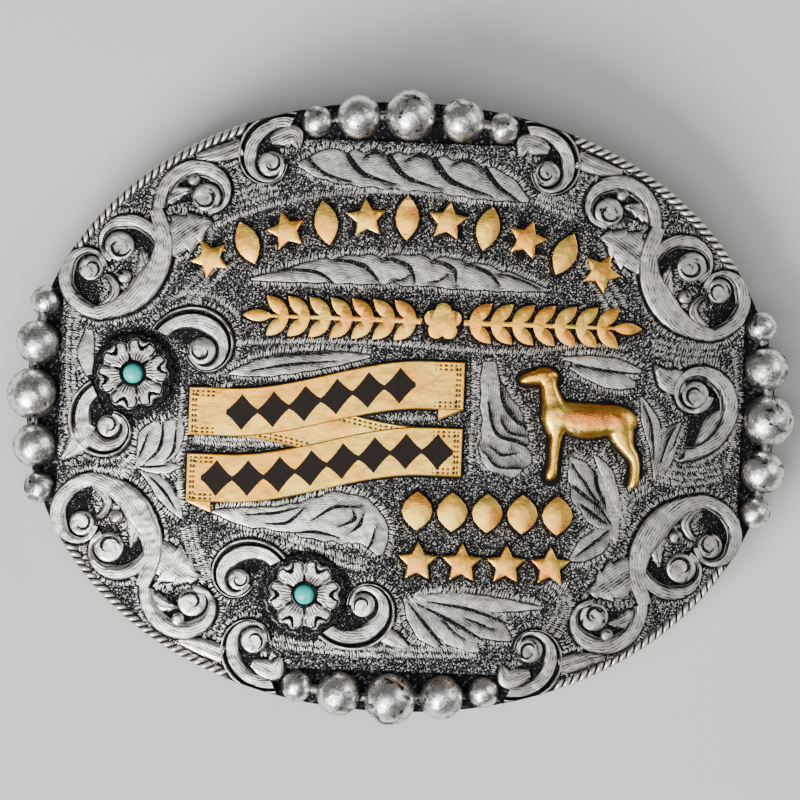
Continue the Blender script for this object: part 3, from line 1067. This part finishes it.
def add_petal(relief, at, turn, shape, back=False):
    """A petal from the bezel outwards. Along it the half width grows as a sine, and its end has two
    lobes with a shallow notch between. Near the end lies a black crescent that bows inwards, round a
    raised lobe; a dark line follows the edge of the side lobes, and dark rays run up the body."""
    inner, outer, half, height = shape
    s = np.linspace(0, 1, 34)[:, None]
    v = np.linspace(-1, 1, 31)[None, :]
    notch = 0.07 if back else 0.12
    reach = (outer - inner) * (np.sqrt(1 - 0.58 * np.abs(v) ** 3) - notch * bell(v, 0.3))
    wide = half * (0.42 + 0.62 * np.sin(np.pi * 0.66 * s ** 1.1) ** 1.4)
    x = inner + s * reach + 0 * v
    y = v * wide
    tip = (1 - s) * reach
    edge = np.minimum(tip, (1 - np.abs(v)) * wide)
    if back:
        h = height * (0.7 + 0.3 * smooth(0.0, 0.3, edge))
        bright = smooth(0.06, 0.16, edge) * smooth(0.42, 0.28, edge)
        dark = 0.95 - 0.3 * bright + 0.3 * smooth(0.08, 0.0, edge)
    else:
        bow = 1.05 - 0.6 * (y / 0.9) ** 2
        thick = 0.27 * np.sqrt(np.clip(1 - (y / 0.95) ** 2, 0, 1))
        moon = smooth(1.25, 0.75, np.abs(tip - bow) / np.maximum(thick, 0.02)) * (np.abs(y) < 0.95)
        line = bell(edge - 0.34, 0.13) * smooth(0.36, 0.5, s) * smooth(0.75, 1.0, np.abs(y))
        lobe = smooth(0.75, 0.35, np.hypot(tip - 0.42, y * 0.9))
        rays = (0.5 + 0.5 * np.cos(v * 19)) ** 2 * smooth(0.5, 0.3, s)
        rim = smooth(0.0, 0.35, edge)
        h = height * (0.62 + 0.16 * rim + 0.16 * lobe - 0.3 * moon - 0.05 * rays - 0.12 * line)
        dark = np.clip(1.4 * moon + 0.5 * rays + 0.9 * smooth(0.14, 0.04, edge) + 0.95 * line + 0.02, 0, 1)
    face_x, face_y, u, v, dark = (np.pad(g, 1, "edge") for g in (*turned(at, x, y, turn), x, y, dark))
    relief.skin(face_x, face_y, np.pad(h, 1, constant_values=-SINK), u, v, dark, ends=False)


class BUCKLE_OT_flowers(bpy.types.Operator):
    """The two flowers with their stones in bezels, and the four scrolls beside them"""
    bl_idname = "buckle.flowers"
    bl_label = "Flowers and sprays"

    def execute(self, context):
        """A flower has a black disc, twelve back petals, six front ones that lie between them, and a
        bezel, whose section is turned about the stone."""
        t = circle(48)[:, None]
        r, h, dark = (column + 0 * t for column in BEZEL.T[:, None])
        for name, at, degrees in (("left", FLOWER_LEFT_AT, 13), ("low", FLOWER_LOW_AT, 1.5)):
            relief = Relief()
            relief.dome(at, DISC_R, 0.05, DISC_H, dark=1.0, rings=4, around=48)
            for k in range(12):
                add_petal(relief, at, math.radians(degrees + 30 * k + 15), BACK_PETAL, True)
            for k in range(6):
                add_petal(relief, at, math.radians(degrees + 60 * k), FRONT_PETAL)
            relief.skin(at[0] + r * np.cos(t), at[1] + r * np.sin(t), h, t, h, dark, rows_close=True)
            make_piece("flower_dressed_" + name, relief, cast_silver(context),
                       ["flower_" + name], sharp=50)
        finish_nodes(["turquoise_left", "turquoise_low"], turquoise(colours(context)))
        for name, at, q, leaves in (("left_upper", FLOWER_LEFT_AT, SPRAY_LEFT_UPPER, []),
                                    ("left_lower", FLOWER_LEFT_AT, SPRAY_LEFT_LOWER, [SPRAY_LOWER_LEAF]),
                                    ("low_left", FLOWER_LOW_AT, SPRAY_LOW_LEFT, []),
                                    ("low_right", FLOWER_LOW_AT, SPRAY_LOW_RIGHT, [SPRAY_RIGHT_LEAF])):
            scroll_casting(context, "spray_casting_" + name, "spray_scroll_" + name, q, leaves, at, (1, 1),
                           inset=0.3, wide=1.5, seed=61)
        return {"FINISHED"}


class BUCKLE_OT_ribbon(bpy.types.Operator):
    """The bronze ribbon: two bands with a third behind them, stitched edges and enamel"""
    bl_idname = "buckle.ribbon"
    bl_label = "Ribbon"

    def execute(self, context):
        """A band's middle line is level, rises smoothly from 0.15 to 0.86 of the length, and is level
        again. Across it the top is a low crown with rounded edges, and stitches are short dark dashes
        inside its edges and ends."""
        z, c, relief = sizes(context), colours(context), Relief()
        upper = (RIBBON_PITCH - RIBBON_RISE) / 2
        lower, half = upper - RIBBON_PITCH, RIBBON_H / 2
        v = np.concatenate([[-1, -0.985], np.linspace(-0.95, 0.95, 47), [0.985, 1]])[None, :]
        u = np.linspace(0, 1, 281)[:, None]
        rise = {"upper": (upper, upper + RIBBON_RISE), "lower": (lower, lower + RIBBON_RISE),
                "middle": (upper, lower + RIBBON_RISE)}

        def dashes(way):
            """1 on a stitch and 0 between two, by the sign of a sine of the way along them."""
            return (np.sin(way * 2 * math.pi / STITCH) > 0.05).astype(float)

        def rows(way, places):
            """Whether a place lies in one of the two rows of stitches at these distances from the rim."""
            return (np.abs(way - places[0]) < STITCH_HALF) | (np.abs(way - places[1]) < STITCH_HALF)

        for band, (y0, y1) in rise.items():
            x = RIBBON_AT[0] + (u - 0.5) * RIBBON_L + 0 * v
            y = RIBBON_AT[1] + (y0 + (y1 - y0) * smooth(0.15, 0.86, u)) + v * half
            inset = (1 - np.abs(v)) * half
            end = np.minimum(u, 1 - u) * RIBBON_L
            edge = np.minimum(inset, end)
            stitch = rows(inset, SIDE_ROWS) * dashes(u * RIBBON_L + 0.4 * np.sign(v))
            if band != "middle":
                stitch = np.maximum(stitch * (end < STITCHED_L) * (end > 0.5),
                                    rows(end, END_ROWS) * dashes(v * half) * (inset > 0.4))
            top = z["ribbon"] * (BEHIND if band == "middle" else 1)
            h = top - 0.16 * smooth(0.12, 0.0, edge) - 0.05 * stitch
            dark = np.clip(1.0 * stitch + 0.7 * smooth(0.05, 0.0, edge), 0, 1)
            relief.walled(x, y, h, x, y, dark, np.full((len(u), 1), -SINK))
        for side, y0 in ((1, upper + RIBBON_RISE - half), (-1, lower - half)):
            s = np.linspace(0, 1, 9)[:, None]
            x = RIBBON_AT[0] + side * RIBBON_L / 2 - side * 0.09 * RIBBON_L * s
            top_edge = RIBBON_AT[1] + y0 + half * 0.6 + 0 * s
            low_edge = RIBBON_AT[1] + y0 - 0.21 * RIBBON_H * s
            relief.strip(np.hstack([x, top_edge]), np.hstack([x, low_edge]), z["ribbon"] * BEHIND, smooth_top)
        u = np.linspace(-0.008, 1.008, 60)
        for y0, y1 in (rise["upper"], rise["lower"]):  # the black line round the whole ribbon
            mid = np.stack([RIBBON_AT[0] + (u - 0.5) * RIBBON_L,
                            RIBBON_AT[1] + y0 + (y1 - y0) * smooth(0.15, 0.86, u)], 1)
            off = np.array([0, half + 0.3])
            relief.strip(mid + off, mid - off, LINE_H, flat)
        finish = bronze("ribbon_bronze", c, heat=0.18, stitched=True)
        make_piece("ribbon_dressed", relief, finish, ["ribbon"], sharp=35)
        finish_nodes(["ribbon_enamel_upper", "ribbon_enamel_lower"], black_enamel(c))
        return {"FINISHED"}


class BUCKLE_OT_lamb(bpy.types.Operator):
    """The bronze lamb, one rounded relief"""
    bl_idname = "buckle.lamb"
    bl_label = "Lamb"

    def execute(self, context):
        """A height over a fine grid: each section gives its height times one minus the 3.2th power of
        the distance over its half width, to the power 0.42, and the parts are joined by a soft maximum.
        Under it lies a thin black sheet that reaches out a little farther."""
        x, y = np.meshgrid(np.linspace(-9.8, 9.8, LAMB_CELLS), np.linspace(-9.9, 9.0, LAMB_CELLS),
                           indexing="ij")
        none, soft = -9.0, 0.16
        total = np.full(x.shape, none)
        for part in LAMB_PARTS:
            best = np.full(x.shape, none)
            for px, py, w, t in through(np.array(part) * LAMB_L):
                d = np.hypot(x - px, y - py) / (w / 2)
                round_top = np.clip(1 - d**3.2, 0, 1) ** 0.42
                best = np.maximum(best, t * np.where(d < 1, round_top, (1 - d) * w * 0.6))
            top = np.maximum(total, best)
            join = soft * np.log1p(np.exp(-np.abs(np.clip(total - best, -30, 30)) / soft))
            total = np.maximum(top + join * (top > -0.4), none)
        h = np.maximum(total * 1.08 + 0.02, -0.4)
        relief = Relief()
        shadow = np.where(total > -0.55, 0.06, np.maximum(-0.4, 0.06 + (total + 0.55) * 3))
        self.sheet(relief, x, y, shadow, 1 + 0 * h)
        self.sheet(relief, x, y, h, smooth(0.12, 0.0, h))
        finish = bronze("lamb_bronze", colours(context), heat=0.35, stitched=True,
                        flank=(27.3, -0.6, 5.2, 1.3), satin=0.15)
        make_piece("lamb_dressed", relief, finish, ["lamb"], sharp=60)
        return {"FINISHED"}

    def sheet(self, relief, x, y, h, dark):
        """Keeps the cells of a height map that reach out of the plate, and closes them underneath."""
        out = h > -0.35
        i, j = np.nonzero(out[:-1, :-1] | out[1:, :-1] | out[:-1, 1:] | out[1:, 1:])
        idx = np.arange(x.size).reshape(x.shape)
        quads = np.stack([idx[i, j], idx[i + 1, j], idx[i + 1, j + 1], idx[i, j + 1]], 1)
        used, quads = np.unique(quads, return_inverse=True)
        quads, n = quads.reshape(-1, 4), len(used)
        pair = np.concatenate([quads[:, [k, (k + 1) % 4]] for k in range(4)])
        rim = pair[~np.isin(pair[:, 0] * n + pair[:, 1], pair[:, 1] * n + pair[:, 0])]
        walls = np.stack([rim[:, 1], rim[:, 0], rim[:, 0] + n, rim[:, 1] + n], 1)
        faces = np.concatenate([quads, quads[:, ::-1] + n, walls])
        px, py, ph, pd = (g.ravel()[used] for g in (x + LAMB_AT[0], y + LAMB_AT[1], h, dark))
        px, py = np.append(px, px), np.append(py, py)
        relief.add(px, py, np.append(ph, 0 * ph - 0.6), px, py, np.append(pd, 0 * pd + 1),
                   (faces + relief.count).tolist())


class BUCKLE_OT_ornaments(bpy.types.Operator):
    """The bronze stars, leaves, laurel and lozenges, their edges softened"""
    bl_idname = "buckle.ornaments"
    bl_label = "Bronze ornaments"

    def execute(self, context):
        names = [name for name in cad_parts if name.startswith(("arch_", "laurel_", "panel_"))]
        finish_nodes(names, bronze("ornament_bronze", colours(context), heat=0.55))
        for name in names:
            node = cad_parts[name]
            node.modifiers.new("Weld", "WELD").merge_threshold = 0.00001
            soft = node.modifiers.new("Bevel", "BEVEL")
            soft.width, soft.segments = 0.00022, 2
            soft.limit_method, soft.angle_limit = "ANGLE", math.radians(40)
        return {"FINISHED"}


def star(at, d, turn=0.0):
    """Ten points round a centre, each second one at 0.56 of the radius, and the first one at the top."""
    a = np.arange(10) * math.pi / 5 - turn
    r = d / 2 * np.where(np.arange(10) % 2 == 0, 1, 0.56)
    return np.asarray(at) + np.stack([r * np.sin(a), r * np.cos(a)], 1)


def pointed(at, long, wide, turn=0.0):
    """A pointed leaf: half its length times the cosine, and half its width times the sine squared."""
    a = circle(24)
    x, y = wide / 2 * np.sin(a) * np.abs(np.sin(a)), long / 2 * np.cos(a)
    return np.stack(turned(at, x, y, turn), 1)


class BUCKLE_OT_shadow_lines(bpy.types.Operator):
    """The blackened line that stands round each bronze ornament"""
    bl_idname = "buckle.shadow_lines"
    bl_label = "Black lines round ornaments"

    def execute(self, context):
        # Each line is an ornament's outline, larger by these margins in width and in length
        relief, edge, tips, points = Relief(), 0.75, 1.2, 1.4
        for k in range(-5, 6):
            a = k * ARCH_PITCH / ARCH_R
            at = ARCH_AT + ARCH_R * np.array([math.sin(a), math.cos(a) - 1])
            relief.plaque(star(at, STAR + points, a) if k % 2
                          else pointed(at, ARCH_LEAF[0] + 1.6, ARCH_LEAF[1] + edge + 0.2, -a))
        for k in range(5):
            at = LOZENGES_AT + [(k - 2) * LOZENGE_PITCH, 0]
            relief.plaque(pointed(at, LOZENGE[0] + tips, LOZENGE[1] + edge))
        for k in range(4):
            relief.plaque(star(STARS_AT + [(k - 1.5) * STAR_PITCH, 0], STAR + points))
        leaf = LAUREL_W / 2 / math.sin(LAUREL_LEAN) * 0.98
        step = (LAUREL_L - leaf) / LAUREL_LEAVES
        for side in (-1, 1):
            for k in range(LAUREL_LEAVES):
                foot = LAUREL_AT + [side * (LAUREL_START + step * (k + 0.25)), 0]
                for up in (-1, 1):
                    lean = np.array([side * math.cos(LAUREL_LEAN), up * math.sin(LAUREL_LEAN)])
                    turn = side * up * (LAUREL_LEAN - math.pi / 2)
                    relief.plaque(pointed(foot + lean * leaf / 2, leaf + tips, 0.46 * leaf + edge, turn),
                                  0.03 + 0.003 * k)
            end = LAUREL_AT + [side * (LAUREL_START + LAUREL_L - leaf / 2), 0]
            relief.plaque(pointed(end, leaf + tips, 0.4 * leaf + edge, math.pi / 2), 0.06)
        a = circle(40)
        relief.plaque(LAUREL_AT + ROSETTE_R * np.stack([np.cos(a), np.sin(a)], 1), 0.06)
        make_piece("ornament_lines", relief, cast_silver(context))
        return {"FINISHED"}


class BUCKLE_OT_engraving(bpy.types.Operator):
    """Engraved leaves on the ground between the castings, with their dark cuts and bright combs"""
    bl_idname = "buckle.engraving"
    bl_label = "Engraving"

    def execute(self, context):
        """An engraved leaf is a low crown whose edges wave and are notched where a cut starts. A cut is
        a flat black strip, and beside the leaf's edges stand bright cuts."""
        top = sizes(context)["engraved"]
        finish = antique_silver("engraved_silver", colours(context), hatch=0.2, patches=0.3,
                                follow=(5.0, 17.0))
        for k, (name, leaves) in enumerate(FIELD_LEAVES.items()):
            relief = Relief()
            cuts = [through(rows) for rows in FIELD_CUTS[name]]
            depth = 0.3 if name in ("top", "middle") else 0.16
            for n, rows in enumerate(leaves):
                self.leaf(relief, leaf_edges(rows, 14), n, cuts, depth, top, 70 + 7 * k + n)
            for cut in cuts:
                half = across(cut) * (cut[:, 2:3] * 0.72)
                relief.strip(cut[:, :2] + half, cut[:, :2] - half, top + 0.03, flat)
            make_piece("engraved_" + name, relief, finish)
        relief = Relief()
        for k, (row, offsets) in enumerate(COMB_ROWS):
            line = through(row, 10)
            for off in offsets:
                relief.comb(line + across(line) * off, 1, 300 + k, pitch=0.33, length=0.95, start=-0.4,
                            lean=0.35 * (-1) ** k)
        make_piece("bright_cuts", relief, finish)
        return {"FINISHED"}

    def leaf(self, relief, edges, n, cuts, depth, top, seed):
        """Half the leaf's width is times its lobes, a sine and a sawtooth of the way along it, less a
        notch that is a bell of the distance from the nearest start of a cut."""
        (left, right), starts = edges, np.array([cut[0] for cut in cuts])
        mid, half = halves(left, right)
        s, half_w = along(mid)[:, None], np.linalg.norm(half, axis=1)[:, None]

        def notch(edge):
            d = np.hypot(edge[:, None, 0] - starts[:, 0], edge[:, None, 1] - starts[:, 1]).min(1)
            return depth * bell(d, 0.75)[:, None]

        def shaded(v):
            """A low crown, darkened on one side of each cut, where the tarnish falls off with the
            distance from it, and along faint ribs that run up from the middle."""
            x = mid[:, :1] + half[:, :1] * v
            y = mid[:, 1:] + half[:, 1:] * v
            dark = 0 * x
            for cut in cuts:
                d = np.hypot(x[..., None] - cut[:, 0], y[..., None] - cut[:, 1])
                near = d.argmin(-1)
                n_side = across(cut)[near]
                side = (x - cut[near, 0]) * n_side[..., 0] + (y - cut[near, 1]) * n_side[..., 1]
                dark = np.maximum(dark, 0.6 * np.exp(-d.min(-1) / 0.7) * (side < 0.1))
            rib = np.sin((s * 1.15 - np.abs(v) * half_w * 0.9) * 2 * math.pi)
            dark = np.maximum(dark, 0.32 * smooth(0.86, 0.99, rib) * smooth(0.06, 0.2, np.abs(v)))
            return 0.35 + 0.65 * crown(v), dark

        lobes = 1 + 0.05 * np.sin(s * 1.9 + n) + 0.04 * ((s * 0.9) % 1.0)
        left = mid + half * (lobes + 0.08 - notch(left))
        right = mid - half * (2.06 - lobes - notch(right))
        relief.strip(left, right, top, shaded, np.linspace(-1, 1, 33), 0.2)
        beside = {"pitch": 0.34, "start": 0.1, "height": 0.09}
        relief.comb(left, 1, seed, length=1.1, lean=0.25, **beside)
        relief.comb(right, -1, seed + 100, length=0.8, lean=-0.25, **beside)


class BUCKLE_OT_hardware(bpy.types.Operator):
    """Satin finish on the belt loop and hook behind the plate"""
    bl_idname = "buckle.hardware"
    bl_label = "Loop and hook"

    def execute(self, context):
        finish_nodes(["belt_loop", "belt_hook"], satin_hardware(colours(context)))
        return {"FINISHED"}


class BUCKLE_OT_stage(bpy.types.Operator):
    """A plain pale floor, soft lights and the camera straight above"""
    bl_idname = "buckle.stage"
    bl_label = "Stage"

    def execute(self, context):
        scene = context.scene

        def place(name, data, at, turn=(0, 0, 0)):
            """Adds an object to the scene."""
            made = bpy.data.objects.new(name, data)
            made.location, made.rotation_euler = at, turn
            scene.collection.objects.link(made)
            return made

        w = 1.5
        mesh = bpy.data.meshes.new("floor")
        mesh.from_pydata([(-w, -w, 0), (w, -w, 0), (w, w, 0), (-w, w, 0)], [], [(0, 1, 2, 3)])
        b = Bench("pale_floor", 0.85, 0.0)
        c = colours(context).floor
        b.set("Base Color", b.blend(b.noise(b.place(), 0.02, 2.0), tuple(v * 0.97 for v in c), tuple(c)))
        mesh.materials.append(b.material)
        floor = place("floor", mesh, (0, 0, 0))
        world = bpy.data.worlds.new("studio")
        world.use_nodes = True
        world.node_tree.nodes["Background"].inputs["Color"].default_value = SKY
        world.node_tree.nodes["Background"].inputs["Strength"].default_value = SKY_STRENGTH
        scene.world = world
        for name, at, wide, deep, power in LAMPS:
            lamp = bpy.data.lights.new(name, "AREA")
            lamp.shape, lamp.size, lamp.size_y, lamp.energy = "RECTANGLE", wide, deep, power
            aim = -np.array(at) / np.linalg.norm(at)
            place(name, lamp, at, (0, 0, 0) if name == "overhead"
                  else (math.acos(-aim[2]), 0, math.atan2(-aim[0], aim[1])))
        lens = bpy.data.cameras.new("camera")
        lens.sensor_width, lens.lens = 36, LENS
        scene.camera = place("camera", lens, CAMERA_AT, (0, 0, math.radians(CAMERA_TURN)))
        return {"FINISHED"}


STEPS = (BUCKLE_OT_plate, BUCKLE_OT_beads, BUCKLE_OT_ropes, BUCKLE_OT_corners, BUCKLE_OT_shoulders,
         BUCKLE_OT_side, BUCKLE_OT_flowers, BUCKLE_OT_ribbon, BUCKLE_OT_lamb, BUCKLE_OT_ornaments,
         BUCKLE_OT_shadow_lines, BUCKLE_OT_engraving, BUCKLE_OT_hardware, BUCKLE_OT_stage)


class BUCKLE_PT_panel(bpy.types.Panel):
    """Lists the buckle's pieces, sizes and colours"""
    bl_idname = "BUCKLE_PT_panel"
    bl_label = "Trophy buckle"
    bl_space_type = "VIEW_3D"
    bl_region_type = "UI"
    bl_category = "Buckle"

    def draw(self, context):
        for step in STEPS:
            self.layout.operator(step.bl_idname)
        for group in (context.scene.buckle_sizes, context.scene.buckle_colours):
            box = self.layout.box()
            for key in type(group).__annotations__:
                box.prop(group, key)


CLASSES = (BuckleColours, BuckleSizes, *STEPS, BUCKLE_PT_panel)


def register():
    for cls in CLASSES:
        bpy.utils.register_class(cls)
    bpy.types.Scene.buckle_colours = PointerProperty(type=BuckleColours)
    bpy.types.Scene.buckle_sizes = PointerProperty(type=BuckleSizes)


def unregister():
    del bpy.types.Scene.buckle_sizes
    del bpy.types.Scene.buckle_colours
    for cls in reversed(CLASSES):
        bpy.utils.unregister_class(cls)


def main():
    register()
    for step in STEPS:
        group, name = step.bl_idname.split(".")
        getattr(getattr(bpy.ops, group), name)()


if __name__ == "__main__":
    main()
